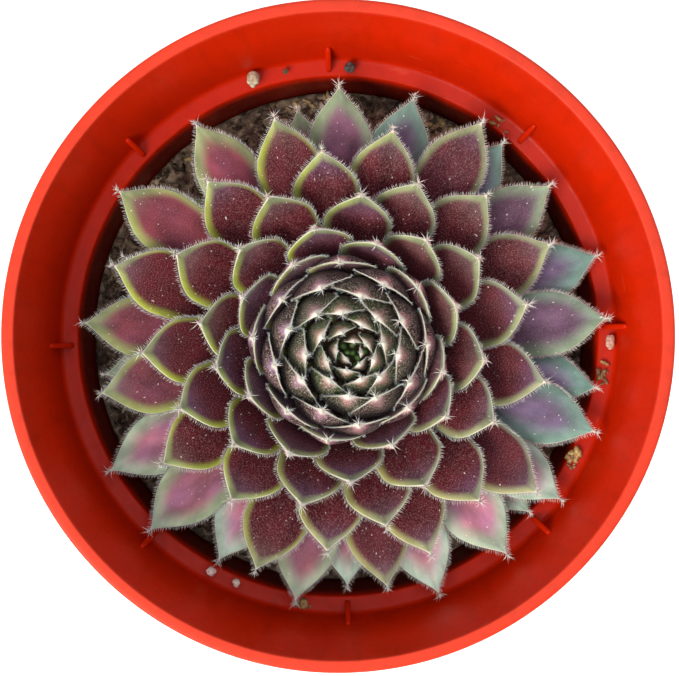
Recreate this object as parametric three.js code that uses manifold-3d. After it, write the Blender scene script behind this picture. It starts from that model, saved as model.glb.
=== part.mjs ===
// Potted houseleek: a fleshy rosette on its short stem, in soil, in a moulded plastic nursery pot.
// Millimetres, +Z up. The origin is at the middle of the pot's foot, on the surface it stands on.
import * as THREE from 'three';
import * as BufferGeometryUtils from 'three/addons/utils/BufferGeometryUtils.js';
import Module from 'manifold-3d';

const wasm = await Module();
wasm.setup();

// ---- Driving dimensions ----

const fitGap = 0.3;              // clearance between pieces that touch
const pot = {
  height: 92,
  rimRadius: 52.5,               // outside of the lip
  lipHeight: 2.8,
  lipBevel: 0.5,
  lipInnerBevel: 0.3,
  lipSlope: 0.2,                 // the lip's underside slopes by this much
  collarTopRadius: 50.5,         // inside of the collar, at the lip
  collarFootRadius: 46.8,        // inside of the collar, at the ledge
  ledgeHeight: 70.4,             // where the ledge meets the collar
  ledgeDrop: 0.6,                // the ledge slopes down to the soil
  ledgeInnerRadius: 43.8,
  footRadius: 37.1,
  wall: 1.25,
  collarTopWall: 0.7,            // share of the wall left at the top of the collar
  shoulderLow: 1,                // the body flares out to the shoulder from this far below it
  shoulderRise: 0.8,             // the shoulder climbs this far to the collar
  floorTop: 4.2,
  floorBottom: 3.0,
  floorFillet: 1,
  footRingInnerRadius: 31.2,
  footRingDraft: 0.3,
  chamfer: 0.4,
  collarFillet: { above: 0.6, out: 0.1, in: 0.5 }, // where the collar's wall turns into the ledge
  segments: 64,
};
const rib = {
  count: 8,
  firstAngle: 2,
  thickness: 0.9,
  topHeight: 76,
  reach: 44.5,                   // how near the pot's axis it comes
  rooted: 0.9,                   // how far it goes into the wall
  sunk: 0.5,                     // how far it goes into the ledge at the wall
  sunkInner: 0.2,
  topWidth: 0.6,                 // flat part of its top
  topDrop: 0.6,
  innerHeight: 0.7,
};
const drain = { count: 8, radius: 4, circle: 24, sides: 12 };
const footNotch = { count: 8, width: 8, height: 1.6 };
const soil = {
  surface: 60.4,
  relief: 0.75,
  swellShare: 0.45,              // share of the relief in the long swell, the rest is clumps
  swellX: 0.21,                  // radians per millimetre
  swellY: 0.17,
  clumpsX: 0.63,
  clumpsY: 0.41,
  crossX: 0.29,
  crossY: 0.71,
  phases: [1.3, -0.6, 2.1],
  rings: 8,
  segments: 64,
  holeRadius: 5.6,
  holeBottom: 33,
  holeTaper: 0.7,                // share of its radius left at the bottom
  footFillet: 1,
};
const stem = { radius: 5.2, tipRadius: 2.4, top: 61.6, bottom: 33.6, sides: 16 };

const rosette = {
  leaves: 114,
  divergence: 137.48,            // degrees from one leaf to the next, youngest first
  axis: [0.8, -1.05],            // where the rosette's axis crosses the soil
  lean: [1.6, -1.7],             // how far the heart leans over from that axis
  leanFrom: 63,
  leanTo: 75.6,
  bend: 1.5,                     // above 1 the midrib bends more towards its tip
};

// Growth stages of a leaf, from the heart (leaf 0) to the oldest at the bottom. Between two stages
// every value changes evenly. The root sits at rootRadius and rootHeight, and the tip stands tipRadius
// from the axis. tipSlope is the midrib's slope in degrees at the tip: past 90 the leaf curls in over
// the heart. The leaf is widest at shoulder, a distance from the tip, and over about the length of
// point its margins draw in to a fine tip.
const stages = [
  {
    leaf: 0, rootRadius: 0.8, rootHeight: 75.6, length: 5, tipRadius: 1,
    tipSlope: 112, halfWidth: 1.1, thickness: 0.9, shoulder: 1, point: 0.15,
  },
  {
    leaf: 8, rootRadius: 3, rootHeight: 74.2, length: 9.6, tipRadius: 3.4,
    tipSlope: 138, halfWidth: 2.5, thickness: 1.2, shoulder: 1.9, point: 0.3,
  },
  {
    leaf: 16, rootRadius: 4.7, rootHeight: 72.6, length: 13.6, tipRadius: 5.9,
    tipSlope: 144, halfWidth: 3.8, thickness: 1.5, shoulder: 2.9, point: 0.4,
  },
  {
    leaf: 24, rootRadius: 6, rootHeight: 71, length: 17.2, tipRadius: 8.6,
    tipSlope: 138, halfWidth: 4.8, thickness: 1.8, shoulder: 3.7, point: 0.6,
  },
  {
    leaf: 32, rootRadius: 7, rootHeight: 69.5, length: 19.6, tipRadius: 11.8,
    tipSlope: 116, halfWidth: 5.2, thickness: 1.9, shoulder: 4.4, point: 0.9,
  },
  {
    leaf: 40, rootRadius: 7.8, rootHeight: 68.1, length: 21.2, tipRadius: 15.2,
    tipSlope: 86, halfWidth: 5.3, thickness: 2, shoulder: 5, point: 1.2,
  },
  {
    leaf: 50, rootRadius: 8.4, rootHeight: 66.7, length: 23, tipRadius: 20.5,
    tipSlope: 60, halfWidth: 5.4, thickness: 2.2, shoulder: 5.6, point: 1.3,
  },
  {
    leaf: 60, rootRadius: 8.8, rootHeight: 65.6, length: 25.2, tipRadius: 26.4,
    tipSlope: 42, halfWidth: 5.5, thickness: 2.3, shoulder: 6.4, point: 1.4,
  },
  {
    leaf: 75, rootRadius: 9.2, rootHeight: 64.5, length: 30, tipRadius: 35,
    tipSlope: 22, halfWidth: 5.4, thickness: 2.2, shoulder: 8.2, point: 1.6,
  },
  {
    leaf: 90, rootRadius: 9.4, rootHeight: 63.8, length: 35.2, tipRadius: 43,
    tipSlope: 10, halfWidth: 5.3, thickness: 2.1, shoulder: 10, point: 1.8,
  },
  {
    leaf: 100, rootRadius: 9.4, rootHeight: 63.4, length: 37.2, tipRadius: 45.2,
    tipSlope: 8, halfWidth: 5.1, thickness: 1.9, shoulder: 10, point: 1.8,
  },
  {
    leaf: 114, rootRadius: 9.2, rootHeight: 63.2, length: 33.2, tipRadius: 41.5,
    tipSlope: 8, halfWidth: 4.6, thickness: 1.7, shoulder: 9, point: 1.6,
  },
];

// Leaves that grew out of line with the spiral: degrees turned and millimetres further out.
const strays = {
  55: [-5, 0], 58: [-5, 1.4], 59: [1, -1.8], 63: [-5, 0], 66: [-3, 0.5], 67: [3, 1.1],
  71: [-8, 1.4], 76: [-3, -1.5], 79: [-7, 0.5], 80: [1, 2.2], 82: [4, 1.4], 84: [-10, 1],
  85: [-4, 0.8], 86: [1, 2.8], 88: [2, 3.4], 89: [2, 2], 90: [-3, 2], 92: [-3, 1.6],
  96: [4, 0], 97: [-4, 0.5], 99: [3, -2], 101: [5, -5.5], 102: [3, 0.5], 103: [-1, -2],
  104: [-3, -4], 105: [-2, 1.4], 106: [0, -3], 108: [0, -2], 109: [0, -7], 110: [-6, 1],
  111: [0, -6], 112: [0, -6], 113: [13, 1],
};

const blade = {
  rootWidth: 0.45,               // share of the half width at the root
  rootThickness: 0.4,            // share of the thickness at the root
  thickestAt: 0.65,              // share of the length
  tipThickness: 0.3,             // share of the thickness at the tip
  thinningFrom: 1.5,             // distance from the tip, as a multiple of the half width
  lowerRings: [0, 0.5],          // sections from the root to the shoulder
  upperRings: [1, 0.7, 0.42, 0.2, 0.08], // sections from the shoulder to the tip
  section: [[-1, 0], [0, -0.8], [1, 0], [0, 0.2]], // shares of half width and thickness
  cup: 0.5,                      // how strongly the margins fold up round the heart
  cupRadius: 4,                  // nearer the axis than this the fold grows no stronger
  pitchJitter: 1.2,              // degrees
  yawJitter: 1.5,
  rollJitter: 3,
  restingFrom: 86,               // leaves from this one on lie low, so theirs only tips up
  taper: 0.7,                    // below 1 the tip stays full for longer
  steepest: 120,                 // no leaf leaves the crown at more than this slope
  midribSteps: 24,
  halvings: 24,
};
const crown = [
  [0, 77.4], [1.6, 77.0], [3.6, 75.6], [5.6, 73.6], [7.2, 71.2], [8.6, 68.4], [9.8, 65.6], [10.4, 63.9],
  [9.2, 62.5],
];

const grainSurface = { strays: 0.12, points: 40, detail: 1 }; // strays: share of the grain's size
const grains = [
  { name: 'grit_pale_stone', angle: 108.3, circle: 45.3, size: [1.25, 1.05, 0.95], colour: 0xc9bda6 },
  { name: 'grit_dark_stone', angle: 87.5, circle: 45.1, size: [0.95, 0.9, 0.8], colour: 0x4c4744 },
  { name: 'grit_grain_top', angle: 101.3, circle: 45.3, size: [0.5, 0.45, 0.4], colour: 0x6b5a48 },
  { name: 'grit_chip_right', angle: -1.3, circle: 45.6, size: [0.7, 1.2, 0.6], colour: 0xd9b7a6 },
  { name: 'grit_grain_low_left', angle: 241.6, circle: 44.9, size: [0.85, 0.8, 0.7], colour: 0xcfc3ae },
  { name: 'grit_grain_low_right', angle: 247.5, circle: 44.8, size: [0.8, 0.6, 0.65], colour: 0xc4b49c },
];

const finishes = {
  pot: { color: 0xd9361a, roughness: 0.42 },
  soil: { color: 0x453a31, roughness: 0.95 },
  leaf: { color: 0x6d3a37, roughness: 0.6 },
};
const stoneRoughness = 0.85;
const weldDistance = 1e-4;
const draws = { pitch: 1, yaw: 2, roll: 3, grain: 5 };

// ---- Helpers ----

const radians = THREE.MathUtils.degToRad;
const lerp = THREE.MathUtils.lerp;

// A quarter of a sine wave: up steeply from 0, then level at 1.
function quarter(share) {
  return Math.sin((Math.PI / 2) * share);
}

// A repeatable number from -1 to 1 for item and draw.
function scatter(item, draw) {
  const wave = Math.sin(item * 12.9898 + draw * 78.233) * 43758.5453;
  return (wave - Math.floor(wave)) * 2 - 1;
}

function solidFrom(geometry) {
  let clean = geometry.clone();
  clean.deleteAttribute('normal');
  clean.deleteAttribute('uv');
  clean = BufferGeometryUtils.mergeVertices(clean, weldDistance);
  const mesh = new wasm.Mesh({
    numProp: 3,
    vertProperties: new Float32Array(clean.attributes.position.array),
    triVerts: new Uint32Array(clean.index.array),
  });
  return new wasm.Manifold(mesh);
}

function geometryFrom(solid) {
  const mesh = solid.getMesh();
  const geometry = new THREE.BufferGeometry();
  geometry.setAttribute('position', new THREE.BufferAttribute(new Float32Array(mesh.vertProperties), 3));
  geometry.setIndex(new THREE.BufferAttribute(new Uint32Array(mesh.triVerts), 1));
  geometry.computeVertexNormals();
  return geometry;
}

function namedMesh(name, geometry, finish) {
  const material = new THREE.MeshStandardMaterial({ ...finish, metalness: 0 });
  const mesh = new THREE.Mesh(geometry, material);
  mesh.name = name;
  return mesh;
}

// A lathe about +Z from [radius, height] points.
function turned(points, segments) {
  const profile = points.map(([radius, height]) => new THREE.Vector2(radius, height));
  return new THREE.LatheGeometry(profile, segments).rotateX(Math.PI / 2);
}

// A closed skin over rings of equal point count, with an end point or a flat fan at each end.
function skinned(rings, endPoint) {
  const sides = rings[0].length;
  const positions = rings.flat().flatMap((point) => [point.x, point.y, point.z]);
  const index = [];
  for (let ring = 0; ring < rings.length - 1; ring += 1) {
    for (let side = 0; side < sides; side += 1) {
      const here = ring * sides + side;
      const beside = ring * sides + ((side + 1) % sides);
      index.push(here, beside, beside + sides, here, beside + sides, here + sides);
    }
  }
  for (let side = 1; side < sides - 1; side += 1) index.push(0, side + 1, side);
  const lastRing = (rings.length - 1) * sides;
  const tip = rings.length * sides;
  positions.push(endPoint.x, endPoint.y, endPoint.z);
  for (let side = 0; side < sides; side += 1) {
    index.push(lastRing + side, lastRing + ((side + 1) % sides), tip);
  }
  const geometry = new THREE.BufferGeometry();
  geometry.setAttribute('position', new THREE.Float32BufferAttribute(positions, 3));
  geometry.setIndex(index);
  return geometry;
}

// ---- Pot ----

// Inside radius of the tapered body at a height.
function bodyInside(height) {
  const top = pot.ledgeHeight - pot.ledgeDrop;
  return lerp(pot.footRadius - pot.wall, pot.ledgeInnerRadius, height / top);
}

function makePot() {
  const ledgeLow = pot.ledgeHeight - pot.ledgeDrop;
  const shoulder = ledgeLow - pot.wall;
  const collarFootOutside = pot.collarFootRadius + pot.wall;
  const collarTopOutside = pot.collarTopRadius + pot.wall * pot.collarTopWall;
  const lipFoot = pot.height - pot.lipHeight;
  const { above, out, in: inwards } = pot.collarFillet;
  const profile = [
    [0, pot.floorBottom],
    [pot.footRingInnerRadius, pot.floorBottom],
    [pot.footRingInnerRadius + pot.footRingDraft, 0],
    [pot.footRadius - pot.chamfer, 0],
    [pot.footRadius, pot.chamfer],
    [bodyInside(shoulder - pot.shoulderLow) + pot.wall, shoulder - pot.shoulderLow],
    [bodyInside(shoulder) + pot.wall + pot.chamfer, shoulder],
    [collarFootOutside, shoulder + pot.shoulderRise],
    [collarTopOutside, lipFoot],
    [pot.rimRadius - pot.lipSlope, lipFoot + pot.lipSlope],
    [pot.rimRadius, lipFoot + pot.lipSlope + pot.chamfer],
    [pot.rimRadius, pot.height - pot.lipBevel],
    [pot.rimRadius - pot.lipBevel, pot.height],
    [pot.collarTopRadius + pot.lipInnerBevel, pot.height],
    [pot.collarTopRadius, pot.height - pot.lipInnerBevel],
    [pot.collarFootRadius + out, pot.ledgeHeight + above],
    [pot.collarFootRadius - inwards, pot.ledgeHeight],
    [pot.ledgeInnerRadius + pot.chamfer, ledgeLow],
    [pot.ledgeInnerRadius, ledgeLow - pot.chamfer],
    [bodyInside(pot.floorTop + pot.floorFillet), pot.floorTop + pot.floorFillet],
    [bodyInside(pot.floorTop) - pot.floorFillet, pot.floorTop],
    [0, pot.floorTop],
  ];
  let body = solidFrom(turned(profile, pot.segments));
  for (let i = 0; i < rib.count; i += 1) {
    body = body.add(solidFrom(makeRib(rib.firstAngle + (360 / rib.count) * i)));
  }
  for (let i = 0; i <= drain.count; i += 1) {
    const angle = radians((360 / drain.count) * (i + 0.5));
    const circle = i < drain.count ? drain.circle : 0;
    const hole = new THREE.CylinderGeometry(drain.radius, drain.radius, 2 * pot.floorTop, drain.sides);
    hole.rotateX(Math.PI / 2).translate(circle * Math.cos(angle), circle * Math.sin(angle), pot.floorTop);
    body = body.subtract(solidFrom(hole));
  }
  for (let i = 0; i < footNotch.count; i += 1) {
    const notch = new THREE.BoxGeometry(pot.footRadius, footNotch.width, 2 * footNotch.height);
    notch.translate(pot.footRadius, 0, 0).rotateZ(radians((360 / footNotch.count) * i));
    body = body.subtract(solidFrom(notch));
  }
  return namedMesh('pot', geometryFrom(body), finishes.pot);
}

// A thin gusset between the collar's wall and the ledge, on which a stacked pot would stand.
function makeRib(angle) {
  const outer = pot.collarFootRadius + rib.rooted;
  const shape = new THREE.Shape();
  shape.moveTo(outer, pot.ledgeHeight - rib.sunk);
  shape.lineTo(outer, rib.topHeight);
  shape.lineTo(outer - rib.topWidth, rib.topHeight - rib.topDrop);
  shape.lineTo(rib.reach, pot.ledgeHeight + rib.innerHeight);
  shape.lineTo(rib.reach, pot.ledgeHeight - pot.ledgeDrop - rib.sunkInner);
  shape.closePath();
  const fin = new THREE.ExtrudeGeometry(shape, { depth: rib.thickness, bevelEnabled: false });
  return fin.translate(0, 0, -rib.thickness / 2).rotateX(Math.PI / 2).rotateZ(radians(angle));
}

// ---- Soil ----

function soilHeight(x, y) {
  const [phaseX, phaseY, phaseCross] = soil.phases;
  const swell = Math.sin(x * soil.swellX + phaseX) * Math.cos(y * soil.swellY + phaseY);
  const along = Math.sin(x * soil.clumpsX + y * soil.clumpsY);
  const clumps = along * Math.sin(y * soil.crossY - x * soil.crossX + phaseCross);
  return soil.surface + soil.relief * lerp(clumps, swell, soil.swellShare);
}

function makeSoil() {
  const floor = pot.floorTop + fitGap;
  const edge = (height) => bodyInside(height) - fitGap;
  const ringRadii = [soil.holeRadius];
  for (let i = 1; i <= soil.rings; i += 1) {
    ringRadii.push(lerp(soil.holeRadius, edge(soil.surface - soil.relief), i / soil.rings));
  }
  const [axisX, axisY] = rosette.axis;
  const positions = [];
  const ring = (radius, height, share) => {
    for (let i = 0; i < soil.segments; i += 1) {
      const angle = (2 * Math.PI * i) / soil.segments;
      const x = axisX * share + radius * Math.cos(angle);
      const y = axisY * share + radius * Math.sin(angle);
      positions.push(x, y, height ?? soilHeight(x, y));
    }
  };
  ring(edge(floor + soil.footFillet), floor + soil.footFillet, 0);
  ringRadii.reverse().forEach((radius, i) => ring(radius, null, i / soil.rings));
  ring(soil.holeRadius * soil.holeTaper, soil.holeBottom - fitGap, 1);
  const index = [];
  const rings = positions.length / 3 / soil.segments;
  for (let r = 0; r < rings - 1; r += 1) {
    for (let i = 0; i < soil.segments; i += 1) {
      const here = r * soil.segments + i;
      const beside = r * soil.segments + ((i + 1) % soil.segments);
      index.push(here, beside, beside + soil.segments, here, beside + soil.segments, here + soil.segments);
    }
  }
  const under = positions.length / 3;
  positions.push(0, 0, floor);
  const holeEnd = under + 1;
  positions.push(axisX, axisY, soil.holeBottom - fitGap);
  const last = (rings - 1) * soil.segments;
  for (let i = 0; i < soil.segments; i += 1) {
    index.push(under, (i + 1) % soil.segments, i);
    index.push(holeEnd, last + i, last + ((i + 1) % soil.segments));
  }
  const geometry = new THREE.BufferGeometry();
  geometry.setAttribute('position', new THREE.Float32BufferAttribute(positions, 3));
  geometry.setIndex(index);
  geometry.computeVertexNormals();
  return namedMesh('soil', geometry, finishes.soil);
}

// ---- Rosette ----

// The leaf's values, between those of the stages before and after it.
function stageOf(leaf) {
  const next = Math.max(stages.findIndex((stage) => stage.leaf >= leaf), 1);
  const [before, after] = [stages[next - 1], stages[next]];
  const share = (leaf - before.leaf) / (after.leaf - before.leaf);
  const entries = Object.keys(before).map((key) => [key, lerp(before[key], after[key], share)]);
  return Object.fromEntries(entries);
}

// Where the rosette's axis is at a height: it leans over towards the heart.
function axisAt(height) {
  const leanHeight = rosette.leanTo - rosette.leanFrom;
  const share = THREE.MathUtils.clamp((height - rosette.leanFrom) / leanHeight, 0, 1);
  return new THREE.Vector3(
    rosette.axis[0] + rosette.lean[0] * share * share,
    rosette.axis[1] + rosette.lean[1] * share,
    0,
  );
}

// The leaf's sections, root first: distance along the midrib and half width.
function leafSections({ length, shoulder, point, halfWidth }) {
  const lower = blade.lowerRings.map((share) => ({
    along: share * (length - shoulder),
    half: lerp(blade.rootWidth, 1, quarter(share)) * halfWidth,
  }));
  const upper = blade.upperRings.map((share) => ({
    along: length - share * shoulder,
    half: quarter(share) * (1 - Math.exp((-share * shoulder) / point)) * halfWidth,
  }));
  return [...lower, ...upper];
}

// The midrib's slope at a distance along it, and how far out and up the midrib has gone by then.
function midribAt(stage, rise, along) {
  const slopeAt = (distance) => {
    const share = Math.pow(distance / stage.length, rosette.bend);
    return radians(lerp(rise, stage.tipSlope, share));
  };
  let [out, up] = [stage.rootRadius, stage.rootHeight];
  const step = along / blade.midribSteps;
  for (let i = 0; i < blade.midribSteps; i += 1) {
    const slope = slopeAt(step * (i + 0.5));
    out += Math.cos(slope) * step;
    up += Math.sin(slope) * step;
  }
  return { out, up, slope: slopeAt(along) };
}

// The slope at the root that brings a leaf's tip to its distance from the axis, found by halving.
function riseOf(stage) {
  let [low, high] = [0, blade.steepest];
  for (let i = 0; i < blade.halvings; i += 1) {
    const middle = (low + high) / 2;
    if (midribAt(stage, middle, stage.length).out > stage.tipRadius) low = middle;
    else high = middle;
  }
  return low;
}

function makeLeaf(leaf) {
  const [turn, further] = strays[leaf] ?? [0, 0];
  const grown = stageOf(leaf);
  grown.length += further;
  grown.tipRadius += further;
  const pitch = blade.pitchJitter * (scatter(leaf, draws.pitch) + (leaf >= blade.restingFrom ? 1 : 0));
  const yaw = radians(rosette.divergence * -leaf + turn + blade.yawJitter * scatter(leaf, draws.yaw));
  const roll = radians(blade.rollJitter * scatter(leaf, draws.roll));
  const outward = new THREE.Vector3(Math.cos(yaw), Math.sin(yaw), 0);
  const across = new THREE.Vector3(-Math.sin(yaw), Math.cos(yaw), 0);
  const stage = { ...grown, tipSlope: grown.tipSlope + pitch };
  const rise = riseOf(grown) + pitch;
  const placeOf = ({ out, up }) => axisAt(stage.rootHeight).addScaledVector(outward, out).setZ(up);
  const rings = leafSections(stage).map(({ along, half }) => {
    const midrib = midribAt(stage, rise, along);
    const face = outward.clone().multiplyScalar(-Math.sin(midrib.slope)).setZ(Math.cos(midrib.slope));
    const middle = placeOf(midrib);
    const twist = roll * (along / stage.length);
    const side = across.clone().multiplyScalar(Math.cos(twist)).addScaledVector(face, Math.sin(twist));
    const cup = blade.cup / Math.max(midrib.out, blade.cupRadius);
    const fromTip = stage.length - along;
    const swell = lerp(blade.rootThickness, 1, quarter(Math.min(along / stage.length / blade.thickestAt, 1)));
    const thinning = Math.pow(fromTip / stage.halfWidth / blade.thinningFrom, blade.taper);
    const body = stage.thickness * Math.min(swell, lerp(blade.tipThickness, 1, thinning));
    return blade.section.map(([width, depth]) => {
      const x = width * half;
      return middle.clone().addScaledVector(side, x).addScaledVector(face, cup * x * x + depth * body);
    });
  });
  return skinned(rings, placeOf(midribAt(stage, rise, stage.length)));
}

function makeRosette() {
  const crownAndStem = [
    ...crown,
    [stem.radius, stem.top],
    [stem.tipRadius, stem.bottom],
    [0, stem.bottom],
  ].reverse();
  const core = turned(crownAndStem, stem.sides);
  const place = core.attributes.position;
  for (let i = 0; i < place.count; i += 1) {
    const shift = axisAt(place.getZ(i));
    place.setXY(i, place.getX(i) + shift.x, place.getY(i) + shift.y);
  }
  let whole = solidFrom(core);
  for (let leaf = 0; leaf < rosette.leaves; leaf += 1) whole = whole.add(solidFrom(makeLeaf(leaf)));
  // Fusing the leaves can shut in a small hollow between their roots: only the outer skin is kept.
  const skins = whole.decompose().sort((a, b) => b.volume() - a.volume());
  return namedMesh('houseleek', geometryFrom(skins[0]), finishes.leaf);
}

// ---- Grit ----

function makeGrain({ name, angle, circle, size, colour }, number) {
  const stone = BufferGeometryUtils.mergeVertices(bareSphere());
  const place = stone.attributes.position;
  for (let i = 0; i < place.count; i += 1) {
    const bulge = 1 + grainSurface.strays * scatter(i + grainSurface.points * number, draws.grain);
    const [x, y, z] = size.map((half) => half * bulge);
    place.setXYZ(i, place.getX(i) * x, place.getY(i) * y, place.getZ(i) * z);
  }
  const turn = radians(angle);
  stone.rotateZ(turn);
  stone.computeBoundingBox();
  const ledge = pot.ledgeHeight + fitGap;
  stone.translate(circle * Math.cos(turn), circle * Math.sin(turn), ledge - stone.boundingBox.min.z);
  stone.computeVertexNormals();
  return namedMesh(name, stone, { color: colour, roughness: stoneRoughness });
}

function bareSphere() {
  const sphere = new THREE.IcosahedronGeometry(1, grainSurface.detail);
  sphere.deleteAttribute('normal');
  sphere.deleteAttribute('uv');
  return sphere;
}

const pottedHouseleek = new THREE.Group();
pottedHouseleek.add(makePot(), makeSoil(), makeRosette());
grains.forEach((grain, number) => pottedHouseleek.add(makeGrain(grain, number)));

export default pottedHouseleek;
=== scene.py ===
from functools import partial
from math import acos, atan2, copysign, cos, hypot, pi, radians, sin, sqrt, tan

import bpy
import numpy as np
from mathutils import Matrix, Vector, noise


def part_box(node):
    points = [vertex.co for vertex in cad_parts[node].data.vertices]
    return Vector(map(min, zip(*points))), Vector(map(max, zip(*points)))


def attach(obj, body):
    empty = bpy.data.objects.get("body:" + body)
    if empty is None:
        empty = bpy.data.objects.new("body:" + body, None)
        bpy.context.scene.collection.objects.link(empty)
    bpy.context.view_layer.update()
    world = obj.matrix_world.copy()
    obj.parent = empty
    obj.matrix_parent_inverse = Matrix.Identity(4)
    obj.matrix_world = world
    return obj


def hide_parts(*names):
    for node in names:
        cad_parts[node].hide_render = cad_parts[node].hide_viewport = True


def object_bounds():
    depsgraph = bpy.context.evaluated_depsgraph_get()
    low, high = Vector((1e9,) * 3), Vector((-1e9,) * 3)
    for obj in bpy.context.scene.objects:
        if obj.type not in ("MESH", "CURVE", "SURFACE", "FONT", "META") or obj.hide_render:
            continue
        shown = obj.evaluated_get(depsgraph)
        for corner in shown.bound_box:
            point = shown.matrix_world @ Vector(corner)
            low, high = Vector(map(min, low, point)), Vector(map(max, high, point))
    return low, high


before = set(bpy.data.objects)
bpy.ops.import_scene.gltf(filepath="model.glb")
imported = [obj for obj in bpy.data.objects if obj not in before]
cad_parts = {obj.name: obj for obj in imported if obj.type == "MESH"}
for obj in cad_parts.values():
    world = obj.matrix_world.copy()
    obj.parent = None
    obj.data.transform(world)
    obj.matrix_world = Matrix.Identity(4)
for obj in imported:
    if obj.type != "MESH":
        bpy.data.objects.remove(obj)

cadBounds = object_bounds()
mm = 0.001  # every size below is in millimetres, Blender works in metres


def scatter(item, draw):
    # a repeatable number from -1 to 1, the same one that set out the solids
    wave = np.sin(item * 12.9898 + draw * 78.233) * 43758.5453
    return (wave - np.floor(wave)) * 2 - 1


def scatterUp(item, draw):
    # the same from 0 to 1
    return (scatter(item, draw) + 1) / 2


def outAndAcross(turn):
    # unit vectors out from the axis and round it
    c, s = cos(turn), sin(turn)
    return np.array([c, s, 0]), np.array([-s, c, 0])


def smoothStep(low, high, value):
    share = np.clip((value - low) / (high - low), 0, 1)
    return share * share * (3 - 2 * share)


def colour(hexText):
    # sRGB hex to the linear colour that the shader wants
    channels = [int(hexText[i:i + 2], 16) / 255 for i in (1, 3, 5)]
    return tuple(c / 12.92 if c <= 0.04045 else ((c + 0.055) / 1.055) ** 2.4 for c in channels) + (1.0,)


def makePiece(name, points, faces, material, replaces=()):
    mesh = bpy.data.meshes.new(name)
    mesh.from_pydata((np.asarray(points) * mm).tolist(), [], faces)
    mesh.materials.append(material)
    mesh.polygons.foreach_set("use_smooth", [True] * len(mesh.polygons))
    mesh.update()
    piece = bpy.data.objects.new(name, mesh)
    bpy.context.scene.collection.objects.link(piece)
    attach(piece, "root")
    if replaces:
        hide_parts(*replaces)
    return piece


def gridFaces(rows, columns, start=0):
    # quads between rows of points that each close on themselves
    faces = []
    for row in range(rows - 1):
        for column in range(columns):
            beside = (column + 1) % columns
            low, high = start + row * columns, start + (row + 1) * columns
            faces.append((low + column, low + beside, high + beside, high + column))
    return faces


def closedTube(rows, columns, start=0):
    # the same quads with a flat face on each end
    last = start + (rows - 1) * columns
    return gridFaces(rows, columns, start) + [
        tuple(range(start + columns - 1, start - 1, -1)), tuple(range(last, last + columns))]


def fannedTube(points, rows, columns, firstPoint, lastPoint):
    # the same quads with a fan round a point of its own on each end
    faces, last = gridFaces(rows, columns), (rows - 1) * columns
    points += [firstPoint, lastPoint]
    for i in range(columns):
        beside = (i + 1) % columns
        faces.append((len(points) - 2, beside, i))
        faces.append((len(points) - 1, last + i, last + beside))
    return faces


def ringPoints(radius, height, count, centre=(0, 0)):
    turns = [2 * pi * i / count for i in range(count)]
    return [(centre[0] + radius * cos(a), centre[1] + radius * sin(a), height) for a in turns]


def ballPoints(rows, columns):
    points = [(0, 0, -1)]
    for row in range(1, rows):
        polar = pi * row / rows
        points += ringPoints(sin(polar), -cos(polar), columns)
    points.append((0, 0, 1))
    faces = gridFaces(rows - 1, columns, 1)
    last = len(points) - 1
    for column in range(columns):
        beside = (column + 1) % columns
        faces.append((0, 1 + beside, 1 + column))
        faces.append((last, last - columns + column, last - columns + beside))
    return np.array(points), faces


lumpScale = 1.4              # lumps of a stone, over a ball of radius 1
lumpStep = (3.7, 1.3)        # how far the noise moves on from one stone to the next


def addStone(points, faces, centre, size, turn, seed, ball, roughness=0.28):
    shape, shapeFaces = ball
    start = len(points)
    c, s = cos(turn), sin(turn)
    step = Vector((seed * lumpStep[0], seed * lumpStep[1], 0))
    for point in shape:
        bulge = 1 + roughness * noise.noise(Vector(point * lumpScale) + step)
        x, y, z = point * size * bulge
        points.append((centre[0] + x * c - y * s, centre[1] + x * s + y * c, centre[2] + z))
    faces.extend(tuple(start + i for i in face) for face in shapeFaces)


def addMark(piece, name, values):
    # one row for each point: a number, a vector or a colour, by how many columns there are
    kinds = {1: ("FLOAT", "value"), 3: ("FLOAT_VECTOR", "vector"), 4: ("FLOAT_COLOR", "color")}
    kind, field = kinds[values.shape[1]]
    layer = piece.data.attributes.new(name, kind, "POINT")
    layer.data.foreach_set(field, values.astype(np.float32).ravel())


def setInputs(node, inputs):
    # inputs by name or number, or in a list from the first; a socket is linked, other values are set
    for key, value in inputs.items() if isinstance(inputs, dict) else enumerate(inputs):
        if isinstance(value, bpy.types.NodeSocket):
            node.id_data.links.new(value, node.inputs[key])
        else:
            node.inputs[key].default_value = value


def addNode(tree, kind, inputs=(), output=None, **settings):
    # gives back the named output, or the first one in use
    node = tree.nodes.new("ShaderNode" + kind)
    for name, value in settings.items():
        setattr(node, name, value)
    setInputs(node, inputs)
    return node.outputs[output] if output else next(socket for socket in node.outputs if socket.enabled)


def newMaterial(name, **shaderInputs):
    material = bpy.data.materials.new(name)
    material.use_nodes = True
    shader = material.node_tree.nodes["Principled BSDF"]
    setInputs(shader, {key.replace("_", " "): value for key, value in shaderInputs.items()})
    return material, shader, partial(addNode, material.node_tree)


def mottledMaterial(name, dark, pale, grain, detail=2.0, span=None, relief=None, **shaderInputs):
    # two tones in patches as wide as the grain in millimetres; relief is the bump's strength and depth
    material, shader, add = newMaterial(name, **shaderInputs)
    place = add("TexCoord", output="Object")
    patches = add("TexNoise", {"Vector": place, "Scale": 1 / (grain * mm), "Detail": detail})
    share = add("MapRange", [patches, *span]) if span else patches
    tint = add("Mix", {0: share, 6: colour(dark), 7: colour(pale)}, data_type="RGBA")
    setInputs(shader, {"Base Color": tint})
    if relief:
        setInputs(shader, {"Normal": add("Bump", {
            "Height": patches, "Strength": relief[0], "Distance": relief[1] * mm})})
    return material


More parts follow.
